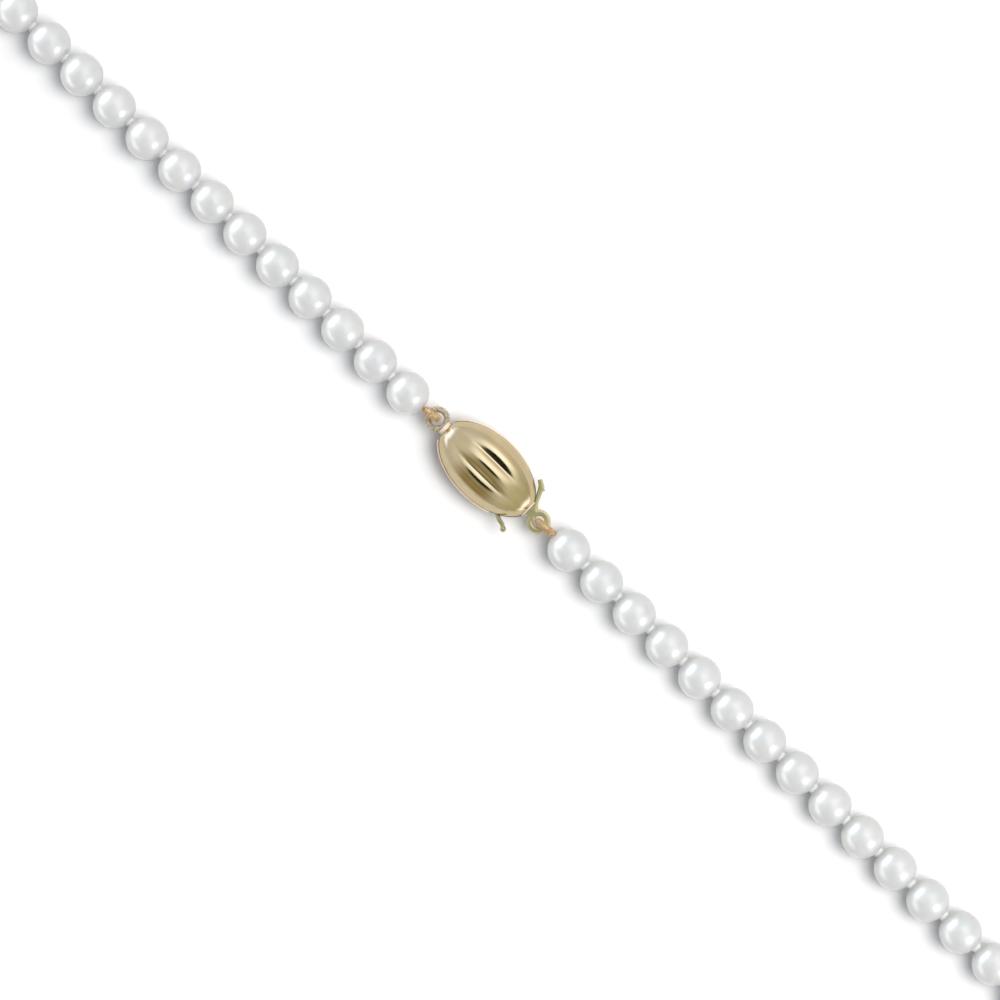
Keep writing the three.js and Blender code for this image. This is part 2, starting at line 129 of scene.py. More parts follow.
def make_camera():
    """A long lens, far enough away to take in the picture's width."""
    data = bpy.data.cameras.new("camera")
    data.lens = LENS
    data.sensor_width = SENSOR
    data.clip_start = 0.01
    data.clip_end = 10
    camera = bpy.data.objects.new("camera", data)
    distance = VIEW_WIDTH * LENS / SENSOR
    camera.location = PLACE @ (picture_direction(*VIEW_CENTRE) + UP * distance)
    camera.rotation_euler = (0, 0, STRAND_SLOPE)
    bpy.context.scene.collection.objects.link(camera)
    bpy.context.scene.camera = camera


make_camera()

# ---------- shader nodes ----------

MIX_INPUTS = (0, 6, 7)  # the Mix node's factor and its two colours
MIX_OUTPUT = 2


class Graph:
    """Adds nodes to one node tree. Every value is a constant or the output of another node."""

    def __init__(self, tree):
        self.nodes = tree.nodes
        self.links = tree.links

    def feed(self, socket, value):
        """Gives a value to a node's input."""
        if isinstance(value, bpy.types.NodeSocket):
            self.links.new(value, socket)
        elif socket.type == "RGBA":
            socket.default_value = (*value, 1)
        else:
            socket.default_value = value

    def number(self, operation, *values):
        node = self.nodes.new("ShaderNodeMath")
        node.operation = operation
        for socket, value in zip(node.inputs, values, strict=False):
            self.feed(socket, value)
        return node.outputs[0]

    def vector(self, operation, *values):
        node = self.nodes.new("ShaderNodeVectorMath")
        node.operation = operation
        for socket, value in zip(node.inputs, values, strict=False):
            self.feed(socket, value)
        return node.outputs["Value" if operation == "LENGTH" else "Vector"]

    def split(self, vector):
        """A vector's X, Y and Z."""
        node = self.nodes.new("ShaderNodeSeparateXYZ")
        self.feed(node.inputs[0], vector)
        return node.outputs

    def spread(self, value, low, high):
        """Takes 0 to 1 on to low to high."""
        node = self.nodes.new("ShaderNodeMapRange")
        self.feed(node.inputs["Value"], value)
        self.feed(node.inputs["To Min"], low)
        self.feed(node.inputs["To Max"], high)
        return node.outputs["Result"]

    def smooth_step(self, value, start, end):
        """0 up to the start and 1 from the end on, with a soft rise between."""
        node = self.nodes.new("ShaderNodeMapRange")
        node.interpolation_type = "SMOOTHSTEP"
        self.feed(node.inputs["Value"], value)
        self.feed(node.inputs["From Min"], start)
        self.feed(node.inputs["From Max"], end)
        return node.outputs["Result"]

    def ramp(self, factor, stops):
        """A colour ramp with (position, colour) stops."""
        node = self.nodes.new("ShaderNodeValToRGB")
        elements = node.color_ramp.elements
        while len(elements) < len(stops):
            elements.new(1.0)
        for element, (position, color) in zip(elements, stops, strict=True):
            element.position = position
            element.color = (*color, 1)
        self.feed(node.inputs[0], factor)
        return node.outputs["Color"]

    def mix(self, factor, first, second, blend="MIX"):
        """Mixes two colours."""
        node = self.nodes.new("ShaderNodeMix")
        node.data_type = "RGBA"
        node.blend_type = blend
        for index, value in zip(MIX_INPUTS, (factor, first, second), strict=True):
            self.feed(node.inputs[index], value)
        return node.outputs[MIX_OUTPUT]

    def is_glossy(self):
        """1 for what shiny things see by reflection, and 0 for all else."""
        return self.nodes.new("ShaderNodeLightPath").outputs["Is Glossy Ray"]

    def noise(self, scale, detail):
        """Noise that stays with the piece; scale is in features per metre."""
        coordinates = self.nodes.new("ShaderNodeTexCoord")
        texture = self.nodes.new("ShaderNodeTexNoise")
        self.feed(texture.inputs["Vector"], coordinates.outputs["Object"])
        self.feed(texture.inputs["Scale"], scale)
        self.feed(texture.inputs["Detail"], detail)
        return texture.outputs["Fac"]

    def bump(self, height, strength, distance):
        node = self.nodes.new("ShaderNodeBump")
        self.feed(node.inputs["Height"], height)
        self.feed(node.inputs["Strength"], strength)
        self.feed(node.inputs["Distance"], distance)
        return node.outputs["Normal"]


def principled(name, settings):
    """A new material with these settings on its shader. Gives the material, and the graph and
    the shader's inputs for what changes over the surface."""
    material = bpy.data.materials.new(name)
    material.use_nodes = True
    inputs = material.node_tree.nodes["Principled BSDF"].inputs
    for setting, value in settings.items():
        inputs[setting].default_value = value
    return material, Graph(material.node_tree), inputs


# ---------- lights ----------

# Distances and sizes of lamps are in metres.
KEY_DISTANCE = 0.8
KEY_ELEVATION = 64
BOX_DISTANCE = 0.75
EDGE_SOFTNESS = 1.5


def soft_edges(data):
    """Makes a lamp's face brightest in its middle and dim at its edges, as a soft box is."""
    data.use_nodes = True
    graph = Graph(data.node_tree)
    place = graph.split(graph.nodes.new("ShaderNodeNewGeometry").outputs["Parametric"])
    arches = []
    for axis in "XY":
        # an arch from 0 at one edge, through 1 in the middle, to 0 at the other
        away = graph.number("SUBTRACT", 1.0, place[axis])
        arch = graph.number("MULTIPLY", away, place[axis])
        arches.append(graph.number("MULTIPLY", arch, 4.0))
    product = graph.number("MULTIPLY", *arches)
    strength = graph.number("POWER", product, EDGE_SOFTNESS)
    graph.feed(graph.nodes["Emission"].inputs["Strength"], strength)


def area_light(name, direction, distance, size, radiance, color=(1, 1, 1), only=None):
    """A rectangular lamp that faces the clasp, given by how bright the middle of its face looks.
    It lights everything, or only the pieces in a collection."""
    data = bpy.data.lights.new(name, "AREA")
    data.shape = "RECTANGLE"
    data.size, data.size_y = size
    data.energy = radiance * math.pi * size[0] * size[1]
    data.color = color
    soft_edges(data)
    lamp = bpy.data.objects.new(name, data)
    lamp.location = ORIGIN + direction * distance
    lamp.rotation_mode = "QUATERNION"
    lamp.rotation_quaternion = direction.to_track_quat("Z", "Y")
    if only:
        lamp.light_linking.receiver_collection = only
    bpy.context.scene.collection.objects.link(lamp)
    return lamp


def elevated(x, y, degrees):
    """A direction that lies over (x, y), at an angle above the table."""
    flat = Vector((x, y, 0)).normalized()
    angle = math.radians(degrees)
    return flat * math.cos(angle) + UP * math.sin(angle)


def make_lights(nacre):
    """The key lights everything, and the other lamps only the pearls, whose lustre they make."""
    beside = picture_direction(1, -0.12)
    key = elevated(beside.x, beside.y, KEY_ELEVATION)
    lamp = area_light("key", key, KEY_DISTANCE, size=(0.88, 0.88), radiance=8.4,
                      color=(1.0, 0.99, 0.975))
    lamp.visible_glossy = False
    # two soft boxes in line with the strand, for the two highlights on each pearl
    left = elevated(-1, -0.03, 21)
    area_light("box_left", left, BOX_DISTANCE, size=(1.22, 0.80), radiance=4.7,
               color=(0.96, 1.0, 1.0), only=nacre)
    right = elevated(1, 0.02, 27.5)
    area_light("box_right", right, BOX_DISTANCE, size=(0.56, 0.54), radiance=5.4, only=nacre)
    # a low one that brings up the pearls' shaded edges
    shaded = picture_direction(-1, -0.45)
    low = elevated(shaded.x, shaded.y, 6)
    area_light("fill_low", low, BOX_DISTANCE, size=(1.3, 0.5), radiance=2.8, only=nacre)


# ---------- world and floor ----------

# What shiny things see of the studio by the height of their view, from 0, level, to 1, straight up.
FAR_SIDE = [
    (0.0, (0.60, 0.51, 0.43)), (0.12, (0.60, 0.51, 0.40)), (0.28, (0.57, 0.49, 0.39)),
    (0.40, (0.72, 0.65, 0.55)), (0.50, (0.93, 0.87, 0.77)), (0.62, (1.05, 1.00, 0.90)),
    (0.75, (1.13, 1.16, 1.18)), (0.92, (1.12, 1.12, 1.08)), (0.98, (0.80, 0.77, 0.70)),
]
NEAR_SIDE = [
    (0.0, (0.52, 0.48, 0.42)), (0.12, (0.43, 0.38, 0.29)), (0.30, (0.28, 0.225, 0.125)),
    (0.50, (0.22, 0.165, 0.07)), (0.62, (0.26, 0.215, 0.12)), (0.78, (0.31, 0.28, 0.165)),
    (0.96, (0.26, 0.235, 0.13)),
]
LEFT_AND_RIGHT = [
    (0.0, (0.53, 0.49, 0.43)), (0.30, (0.50, 0.48, 0.43)), (0.90, (0.60, 0.58, 0.51)),
    (0.96, (0.50, 0.47, 0.40)),
]
# The tint from the eye's end of the clasp to the hook's, where the studio is olive and darker.
END_TO_END_TINT = [(0.0, (1.06, 1.06, 1.08)), (0.45, (1.0, 0.99, 0.96)), (1.0, (0.84, 0.80, 0.60))]
# Each pair is where a change between two of these begins and ends, in the view's X or Y.
NEAR_TO_FAR = (-0.25, 0.2)
MIDDLE_TO_SIDE = (0.12, 0.50)
EYE_TO_HOOK = (-0.2, 0.8)
# A dark round card hangs straight above the clasp.
CARD_COLOR = (0.006, 0.005, 0.003)
CARD_CENTRE_X = 0.02
CARD_RADIUS = 0.225
CARD_EDGE = (0.75, 1.25)
BELOW_TABLE = 9.0  # added below the table, so that the card isn't seen there too
# Soft glows low down beyond the clasp's two ends: direction, how far each reaches, and colour.
END_GLOWS = [
    (Vector((-0.96, -0.14, 0.20)), (0.60, 0.68, 0.30), (1.16, 1.25, 1.55)),
    (Vector((0.97, 0.02, 0.12)), (0.60, 0.60, 0.32), (1.25, 1.24, 1.28)),
]
GLOW_EDGE = (1.0, 0.45)
DOME_COLOR = (0.29, 0.30, 0.325)
FLOOR_COLOR = (0.94, 0.94, 0.94)
FLOOR_REFLECTED = (0.59, 0.55, 0.48)
FLOOR_REACH = 4.0
FLOOR_GAP = 0.02 * MM


def studio_walls(graph, view):
    """The studio's far, near, left and right sides, one fading into the next."""
    far, near, beside = (graph.ramp(view["Z"], band) for band in (FAR_SIDE, NEAR_SIDE, LEFT_AND_RIGHT))
    walls = graph.mix(graph.smooth_step(view["Y"], *NEAR_TO_FAR), near, far)
    sideways = graph.number("ABSOLUTE", view["X"])
    return graph.mix(graph.smooth_step(sideways, *MIDDLE_TO_SIDE), walls, beside)


def outside_card(graph, view):
    """0 on the dark card and 1 beyond its soft edge."""
    squares = []
    for axis, centre in (("X", CARD_CENTRE_X), ("Y", 0.0)):
        offset = graph.number("SUBTRACT", view[axis], centre)
        ratio = graph.number("DIVIDE", offset, CARD_RADIUS)
        squares.append(graph.number("MULTIPLY", ratio, ratio))
    away = graph.number("ADD", *squares)
    below = graph.number("LESS_THAN", view["Z"], 0.0)
    away = graph.number("ADD", away, graph.number("MULTIPLY", below, BELOW_TABLE))
    return graph.smooth_step(away, *CARD_EDGE)


def glow(graph, direction, middle, reach):
    """1 towards the middle, fading to 0 at its reach along each axis."""
    offset = graph.vector("SUBTRACT", direction, middle.normalized())
    length = graph.vector("LENGTH", graph.vector("DIVIDE", offset, reach))
    return graph.smooth_step(length, *GLOW_EDGE)


def make_world():
    """A pale studio. Shiny things see it dark straight above, bright just beyond that on the far
    side, and brown on the near side. All else is lit by an even dome."""
    world = bpy.data.worlds.new("studio")
    bpy.context.scene.world = world
    world.use_nodes = True
    graph = Graph(world.node_tree)
    direction = graph.nodes.new("ShaderNodeTexCoord").outputs["Generated"]
    view = graph.split(direction)
    seen = studio_walls(graph, view)
    seen = graph.mix(outside_card(graph, view), CARD_COLOR, seen)
    tint = graph.ramp(graph.smooth_step(view["X"], *EYE_TO_HOOK), END_TO_END_TINT)
    seen = graph.mix(1.0, seen, tint, "MULTIPLY")
    for middle, reach, color in END_GLOWS:
        seen = graph.mix(glow(graph, direction, middle, reach), seen, color)
    background = graph.nodes["Background"].inputs
    graph.feed(background["Color"], graph.mix(graph.is_glossy(), DOME_COLOR, seen))
    graph.feed(background["Strength"], 1.0)


def make_floor():
    """A white table, which shiny things see as pale grey."""
    settings = {"Roughness": 0.9, "Specular IOR Level": 0.1}
    material, graph, inputs = principled("floor_white", settings)
    graph.feed(inputs["Base Color"], graph.mix(graph.is_glossy(), FLOOR_COLOR, FLOOR_REFLECTED))
    mesh = bpy.data.meshes.new("floor")
    corners = [(x * FLOOR_REACH, y * FLOOR_REACH, 0) for x, y in ((-1, -1), (1, -1), (1, 1), (-1, 1))]
    mesh.from_pydata(corners, [], [(0, 1, 2, 3)])
    mesh.materials.append(material)
    floor = bpy.data.objects.new("floor", mesh)
    floor.location.z = -FLOOR_GAP
    bpy.context.scene.collection.objects.link(floor)


bpy.context.scene.view_settings.view_transform = "Standard"
NACRE_PIECES = bpy.data.collections.new("lit_by_the_soft_boxes")
make_lights(NACRE_PIECES)
make_world()
make_floor()

# ---------- materials ----------


def pearl_material():
    """Nacre: white with a soft lustre, faintly cloudy, under a clear glossy skin."""
    material, graph, inputs = principled("nacre", {
        "Subsurface Weight": 0.25,
        "Subsurface Radius": (1.0, 0.95, 0.9),
        "Subsurface Scale": 0.6 * MM,
        "IOR": 2.0,
        "Coat Weight": 1.0,
        "Coat Roughness": 0.21,
        "Coat IOR": 1.9,
        "Sheen Weight": 0.75,
        "Sheen Roughness": 0.35,
    })
    clouds = graph.noise(scale=420, detail=2)
    skin = graph.noise(scale=2600, detail=2)
    graph.feed(inputs["Base Color"], graph.ramp(clouds, [
        (0.3, (0.48, 0.502, 0.512)), (0.5, (0.515, 0.525, 0.53)), (0.72, (0.535, 0.532, 0.54)),
    ]))
    graph.feed(inputs["Roughness"], graph.spread(skin, 0.42, 0.50))
    graph.feed(inputs["Normal"], graph.bump(skin, strength=0.12, distance=0.02 * MM))
    return material


def silk_material():
    """Twisted cream silk with fine fibres."""
    material, graph, inputs = principled("silk", {"Roughness": 0.75, "Sheen Weight": 0.4})
    fibres = graph.noise(scale=9000, detail=3)
    cream = graph.ramp(fibres, [(0.3, (0.70, 0.675, 0.635)), (0.7, (0.80, 0.785, 0.76))])
    graph.feed(inputs["Base Color"], cream)
    graph.feed(inputs["Normal"], graph.bump(fibres, strength=0.4, distance=0.04 * MM))
    return material


TONE_BREADTH = 12        # of the gold's changes of tone, in grains
MOST_POLISHED = 0.8      # the gold's roughness where it is rubbed most and least, as a share
LEAST_POLISHED = 1.25


def gold_material(name, dark, light, roughness, grain=6000, bump_strength=0.02, metallic=1.0):
    """Polished gold with slight changes of tone and finish from rubbing."""
    material, graph, inputs = principled(name, {"Metallic": metallic})
    tone = graph.noise(scale=grain / TONE_BREADTH, detail=2)
    wear = graph.noise(scale=grain, detail=3)
    graph.feed(inputs["Base Color"], graph.ramp(tone, [(0.35, dark), (0.65, light)]))
    worn = graph.spread(wear, roughness * MOST_POLISHED, roughness * LEAST_POLISHED)
    graph.feed(inputs["Roughness"], worn)
    graph.feed(inputs["Normal"], graph.bump(wear, bump_strength, distance=0.02 * MM))
    return material


PEARL = pearl_material()
SILK = silk_material()
GOLD = gold_material("yellow_gold", (0.85, 0.74, 0.50), (0.91, 0.81, 0.58), 0.12)
RIM_GOLD = gold_material("seam_gold", (0.90, 0.74, 0.60), (0.96, 0.86, 0.74), 0.45, metallic=0.25)
HOOK_GOLD = gold_material("green_gold", (0.72, 0.69, 0.38), (0.88, 0.85, 0.55), 0.32, metallic=0.85)
# The lever's gold is the hook's green gold made darker: painted shade, for the shade the lever lies in
# under the body's edge.
LEVER_GOLD_PAINTED_SHADE = gold_material("lever_green_gold_painted_shade", (0.52, 0.51, 0.30), (0.68, 0.66, 0.40), 0.30)
EYE_GOLD = gold_material("granular_gold", (0.70, 0.63, 0.48), (1.0, 0.98, 0.90), 0.18, 40000, 0.1)
GIMP_GOLD = gold_material("gimp_gold", (0.80, 0.47, 0.23), (1.0, 0.86, 0.62), 0.22, 36000, metallic=0.85)

# ---------- mesh helpers, in millimetres ----------

STEEP = 0.8          # a path that sets off steeper than this is framed from Y, and others from Z
MELT_VOXEL = 0.03
MELT_SOFTENING = 0.5
SAME_POINT = 1e-6


def add_piece(name, mesh, material, body, nodes=()):
    """Puts a finished mesh in the frame on its body, standing for CAD nodes."""
    mesh.transform(PLACE)
    mesh.materials.clear()
    mesh.materials.append(material)
    for polygon in mesh.polygons:
        polygon.use_smooth = True
    piece = bpy.data.objects.new(name, mesh)
    bpy.context.scene.collection.objects.link(piece)
    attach(piece, body)
    if nodes:
        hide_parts(*nodes)
    if material is PEARL:
        NACRE_PIECES.objects.link(piece)


class Builder:
    """Collects vertices and faces of one mesh."""

    def __init__(self):
        self.verts = []
        self.faces = []

    def rings(self, rings, wrap=False, cap=True):
        """Joins rings of equal length, each closed on itself, into a tube; wrap joins the last to
        the first, and cap closes the ends."""
        start = len(self.verts)
        count = len(rings[0])
        for ring in rings:
            self.verts.extend(ring)
        last = len(rings) if wrap else len(rings) - 1
        for i in range(last):
            a = start + i * count
            b = start + ((i + 1) % len(rings)) * count
            for j in range(count):
                k = (j + 1) % count
                self.faces.append((a + j, a + k, b + k, b + j))
        if cap and not wrap:
            self.faces.append(tuple(range(start + count - 1, start - 1, -1)))
            end = start + (len(rings) - 1) * count
            self.faces.append(tuple(range(end, end + count)))
        return self

    def mesh(self, name):
        mesh = bpy.data.meshes.new(name)
        mesh.from_pydata([tuple(v) for v in self.verts], [], self.faces)
        mesh.validate()
        fix_normals(mesh)
        return mesh


def fix_normals(mesh):
    """Joins points in the same place and turns every face outwards."""
    edit = bmesh.new()
    edit.from_mesh(mesh)
    bmesh.ops.remove_doubles(edit, verts=edit.verts, dist=SAME_POINT)
    bmesh.ops.recalc_face_normals(edit, faces=edit.faces)
    edit.to_mesh(mesh)
    edit.free()


def turns(count):
    """Evenly spaced angles round a full turn."""
    return [2 * math.pi * i / count for i in range(count)]


def circle(centre, across, up, radius, sides):
    return [
        centre + across * (radius * math.cos(turn)) + up * (radius * math.sin(turn))
        for turn in turns(sides)
    ]


def ease(t):
    """A soft rise from 0 to 1, for t from 0 to 1."""
    return t * t * (3 - 2 * t)


def frames_along(points, closed=False):
    """A tangent and two steady cross directions at each point of a path."""
    count = len(points)
    tangents = []
    for i in range(count):
        a = points[(i - 1) % count] if closed or i > 0 else points[i]
        b = points[(i + 1) % count] if closed or i < count - 1 else points[i]
        tangents.append((b - a).normalized())
    helper = UP if abs(tangents[0].z) < STEEP else ACROSS
    across = tangents[0].cross(helper).normalized()
    frames = []
    for tangent in tangents:
        across = (across - tangent * across.dot(tangent)).normalized()
        frames.append((tangent, across, tangent.cross(across)))
    return frames


def sweep(builder, points, radius, sides, closed=False):
    """A round tube along a path; radius is a number or one for each point."""
    radii = radius if isinstance(radius, list) else [radius] * len(points)
    frames = frames_along(points, closed)
    rings = [
        circle(p, across, up, r, sides)
        for p, r, (_, across, up) in zip(points, radii, frames, strict=True)
    ]
    return builder.rings(rings, wrap=closed)


def smooth_path(points, steps):
    """A Catmull-Rom curve through the points, with steps between each two."""
    padded = [points[0] * 2 - points[1], *points, points[-1] * 2 - points[-2]]
    out = []
    for i in range(1, len(padded) - 2):
        a, b, c, d = padded[i - 1:i + 3]
        for j in range(steps):
            t = j / steps
            out.append(0.5 * (2 * b + (c - a) * t + (2 * a - 5 * b + 4 * c - d) * t * t
                              + (3 * b - a - 3 * c + d) * t ** 3))
    out.append(points[-1].copy())
    return out


def melted(mesh, smoothing):
    """Melts overlapping closed forms into one skin with softened edges."""
    thing = bpy.data.objects.new("melt", mesh)
    bpy.context.scene.collection.objects.link(thing)
    remesh = thing.modifiers.new("remesh", "REMESH")
    remesh.mode = "VOXEL"
    remesh.voxel_size = MELT_VOXEL
    soften = thing.modifiers.new("soften", "SMOOTH")
    soften.iterations = smoothing
    soften.factor = MELT_SOFTENING
    evaluated = thing.evaluated_get(bpy.context.evaluated_depsgraph_get())
    result = bpy.data.meshes.new_from_object(evaluated)
    bpy.data.objects.remove(thing)
    return result


# ---------- the strand's line ----------


def strand_point(distance, sign):
    """The point on one side's line, and the direction in which the strand goes on there."""
    past = distance - STRAIGHT_LENGTH
    corner = CORNER_RADIUS * CORNER_TURN
    if past <= 0:
        x, y, turn = distance, 0.0, 0.0
    elif past <= corner:
        turn = past / CORNER_RADIUS
        x = STRAIGHT_LENGTH + CORNER_RADIUS * math.sin(turn)
        y = CORNER_RADIUS * (math.cos(turn) - 1)
    else:
        turn = CORNER_TURN + (past - corner) / ARC_RADIUS
        x = ARC_RADIUS * math.sin(turn)
        y = -CORNER_RADIUS - RADIUS_STEP * math.cos(CORNER_TURN) + ARC_RADIUS * math.cos(turn)
    return Vector((sign * x, y, 0)), Vector((sign * math.cos(turn), -math.sin(turn), 0))


def pearl_distance(number):
    """How far along its side a pearl's middle is."""
    return FIRST_PEARL + (number - 1) * PITCH


def knot_distance(number):
    """How far along its side the knot after a pearl is."""
    return pearl_distance(number) + PITCH / 2


# ---------- pearls ----------

PEARL_SIDES = 56
PEARL_ARCS = 34
PEARL_LIP = 0.06              # the rounded edge of the drill hole
LIP_SLOPE = 0.2
PEARL_UNEVEN = 0.006
UNEVEN_SCALE = 0.35
UNEVEN_STEPS = (7.3, 3.1, 1.7)  # through the noise, from one pearl to the next
RIGHT_SIDE_SEED = 50          # added on the right side, so that no two pearls are alike


def pearl_rings(builder, centre, axis, seed):
    """A drilled pearl, round to the eye but never quite true."""
    across = axis.cross(UP).normalized()
    up = across.cross(axis)
    hole = math.asin(PEARL_HOLE / PEARL_RADIUS)
    angles = [hole + (math.pi - 2 * hole) * i / PEARL_ARCS for i in range(PEARL_ARCS + 1)]
    profile = [(PEARL_RADIUS * math.sin(a), -PEARL_RADIUS * math.cos(a)) for a in angles]
    lip_radius = PEARL_HOLE + PEARL_LIP
    profile[0] = (lip_radius, profile[0][1] + PEARL_LIP * LIP_SLOPE)
    profile[-1] = (lip_radius, profile[-1][1] - PEARL_LIP * LIP_SLOPE)
    profile.insert(0, (PEARL_HOLE, profile[0][1] + PEARL_LIP))
    profile.append((PEARL_HOLE, profile[-1][1] - PEARL_LIP))
    offset = Vector([seed * step for step in UNEVEN_STEPS])
    rings = []
    for radius, along in profile:
        ring = circle(centre + axis * along, across, up, radius, PEARL_SIDES)
        if radius > lip_radius:
            for i, point in enumerate(ring):
                out = point - centre
                wobble = noise.noise(out * UNEVEN_SCALE + offset) * PEARL_UNEVEN
                ring[i] = centre + out * (1 - PEARL_UNEVEN / 2 + wobble)
        rings.append(ring)
    return builder.rings(rings, wrap=True)


def make_pearls():
    """One piece for each pearl of the straight side, and one for each run beyond it."""
    for side, sign in SIDES:
        for index, (first, last) in enumerate(RUNS[side]):
            numbers = range(first, last + 1)
            if last <= STRAIGHT:
                groups = [(f"{side}_pearl_{number:02d}", [number]) for number in numbers]
            else:
                groups = [(f"{side}_pearls_{first}_to_{last}", numbers)]
            for name, members in groups:
                builder = Builder()
                for number in members:
                    point, heading = strand_point(pearl_distance(number), sign)
                    seed = number + (RIGHT_SIDE_SEED if sign > 0 else 0)
                    pearl_rings(builder, point, heading, seed)
                body = f"{side}_strand_{index + 1}"
                add_piece(f"nacre_{name}", builder.mesh(name), PEARL, body, [name])


# ---------- silk ----------

THREAD_TWIST = 2.2       # turns of the two plies for each millimetre
THREAD_POINTS = 10       # for each millimetre
PLY_OFFSET = 0.5         # of a ply's middle, as a share of the thread's radius
PLY_RADIUS = 0.55        # as a share of the same
KNOT_RADIUS = 0.58
KNOT_PLY = 0.2
KNOT_POINTS = 20
KNOT_TURNS = ((1, 0.3), (-1, 1.9))  # which way each of a knot's two turns leans, and where it starts
KNOT_LEAN = 0.07
PAST_KNOT = 0.12         # where a run's thread starts, from the knot before it
INTO_PEARL = 0.1         # where the first run's thread starts, inside its first pearl
SHORT_OF_MEETING = 0.02  # between the middle of the loop and each side's end


def thread(builder, start, end, sign):
    """A stretch of silk of two twisted plies."""
    steps = int((end - start) * THREAD_POINTS)
    for ply in (0, math.pi):
        points = []
        for i in range(steps + 1):
            distance = start + (end - start) * i / steps
            point, heading = strand_point(distance, sign)
            across = Vector((-heading.y, heading.x, 0))
            angle = ply + 2 * math.pi * THREAD_TWIST * distance
            aside = across * math.cos(angle) + UP * math.sin(angle)
            points.append(point + aside * SILK_RADIUS * PLY_OFFSET)
        sweep(builder, points, SILK_RADIUS * PLY_RADIUS, sides=8)


def knot(builder, distance, sign):
    """A small overhand knot that fills the gap between two pearls: two crossed turns of thread."""
    point, heading = strand_point(distance, sign)
    across = Vector((-heading.y, heading.x, 0))
    for lean, begin in KNOT_TURNS:
        points = []
        for turn in turns(KNOT_POINTS):
            angle = turn + begin
            slide = lean * KNOT_LEAN * math.sin(angle * 2)
            aside = across * math.cos(angle) + UP * math.sin(angle)
            points.append(point + heading * slide + aside * (KNOT_RADIUS - KNOT_PLY))
        sweep(builder, points, KNOT_PLY, sides=10, closed=True)


def make_silk():
    """One piece for each run: its thread, and the knots after its pearls. The left side's last
    knot is the one where the loop closes."""
    for side, sign in SIDES:
        for index, (first, last) in enumerate(RUNS[side]):
            builder = Builder()
            begin = FIRST_PEARL - PEARL_RADIUS + INTO_PEARL
            if first > 1:
                begin = knot_distance(first - 1) + PAST_KNOT
            end = knot_distance(last)
            if last == PER_SIDE:
                end -= SHORT_OF_MEETING
            thread(builder, begin, end, sign)
            closing = last == PER_SIDE and side == "right"
            for number in range(first, last if closing else last + 1):
                knot(builder, knot_distance(number), sign)
            name = f"{side}_silk_{first}_to_{last}"
            nodes = [name] if last <= STRAIGHT else []
            body = f"{side}_strand_{index + 1}"
            add_piece(f"twisted_{name}", builder.mesh(name), SILK, body, nodes)


# ---------- the clasp's body ----------

SHELL_STATIONS = 72
POINTS_PER_FLUTE = 20
CREASE_ROUNDING = 0.02
TRIM_RADIUS = 0.085
TRIM_REACH = 66          # degrees to each side of straight up or down
TRIM_STEPS = 40
RIM_STEPS = 120
RIM_CLEARANCE = 0.02     # between the rim and the shells, above and below
RIM_DEPTH = 1.0
RIM_ROUNDING = [(0.06, 1.0), (0.025, 0.95), (0.0, 0.8)]  # depth, and share of the rim's half height
RIM_LEAN = 0.55          # how much less the rim's depth runs along the body than across it
COLLAR_BEADS = [         # the outline of two soft beads side by side: x and radius
    (-6.60, 0.55), (-6.59, 0.68), (-6.54, 0.77), (-6.46, 0.80), (-6.38, 0.78), (-6.34, 0.73),
    (-6.31, 0.73), (-6.26, 0.79), (-6.18, 0.80), (-6.11, 0.77), (-6.07, 0.70),
]


def body_radius(x):
    """The body's size at x, as a share of its size in the middle."""
    t = (x - BODY_CENTRE.x) / BODY_HALF_LENGTH
    return math.sqrt(max(0.0, 1 - t * t))


def flute_factor(angle, radius, sign):
    """How much the surface is drawn in at an angle from the top: nothing on a flute's crest, and
    most in the rounded crease between two flutes. The flutes are a little deeper on the near side,
    and run out towards the seam."""
    crest = math.cos(FLUTES * (angle - sign * FLUTE_TURN)) ** 2
    valley = 1 - math.sqrt(crest * (1 - CREASE_ROUNDING) + CREASE_ROUNDING)
    full, end = math.cos(FLUTES_FULL_TO), math.cos(FLUTES_END_AT)
    share = min(1, max(0, (math.cos(angle) - end) / (full - end)))
    depth = (FLUTE_DEPTH - FLUTE_DEPTH_LEAN * math.sin(angle)) * ease(share)
    return 1 - depth * radius ** FLUTE_FADE * valley


def shell_section(x, radius, height, inset, sign):
    """The points over one half of the body at x, from edge to edge."""
    points = []
    steps = FLUTES * POINTS_PER_FLUTE
    for i in range(steps + 1):
        angle = -math.pi / 2 + math.pi * i / steps
        factor = flute_factor(angle, radius, sign)
        y = (BODY_HALF_WIDTH * factor - inset) * radius * math.sin(angle)
        z = (height * factor - inset) * radius * math.cos(angle)
        points.append(Vector((x, BODY_CENTRE.y + y, sign * max(z, SLOT_HALF_HEIGHT))))
    return points


def shell_mesh(name, height, sign):
    """One half of the body: a hollow shell with flat ends. The stations are closest at the ends."""
    lo, hi = BODY_ENDS
    stations = []
    for i in range(SHELL_STATIONS + 1):
        t = math.pi * i / SHELL_STATIONS
        stations.append((lo + hi) / 2 - (hi - lo) / 2 * math.cos(t))
    outer = [shell_section(x, body_radius(x), height, 0, sign) for x in stations]
    inner = []
    for x in stations:
        inside = min(max(x, lo + SHELL_WALL), hi - SHELL_WALL)
        inner.append(shell_section(inside, body_radius(x), height, SHELL_WALL, sign))
    rings = [o + i[::-1] for o, i in zip(outer, inner, strict=True)]
    builder = Builder()
    builder.rings(rings, cap=False)
    # the flat ends: from the outer edge across to a middle line
    for index in (0, -1):
        ring = outer[index]
        base = len(builder.verts)
        flat = [Vector((p.x, p.y, sign * SLOT_HALF_HEIGHT)) for p in ring]
        builder.verts.extend(ring + flat)
        count = len(ring)
        for j in range(count - 1):
            builder.faces.append((base + j, base + j + 1, base + count + j + 1, base + count + j))
    return builder.mesh(name)


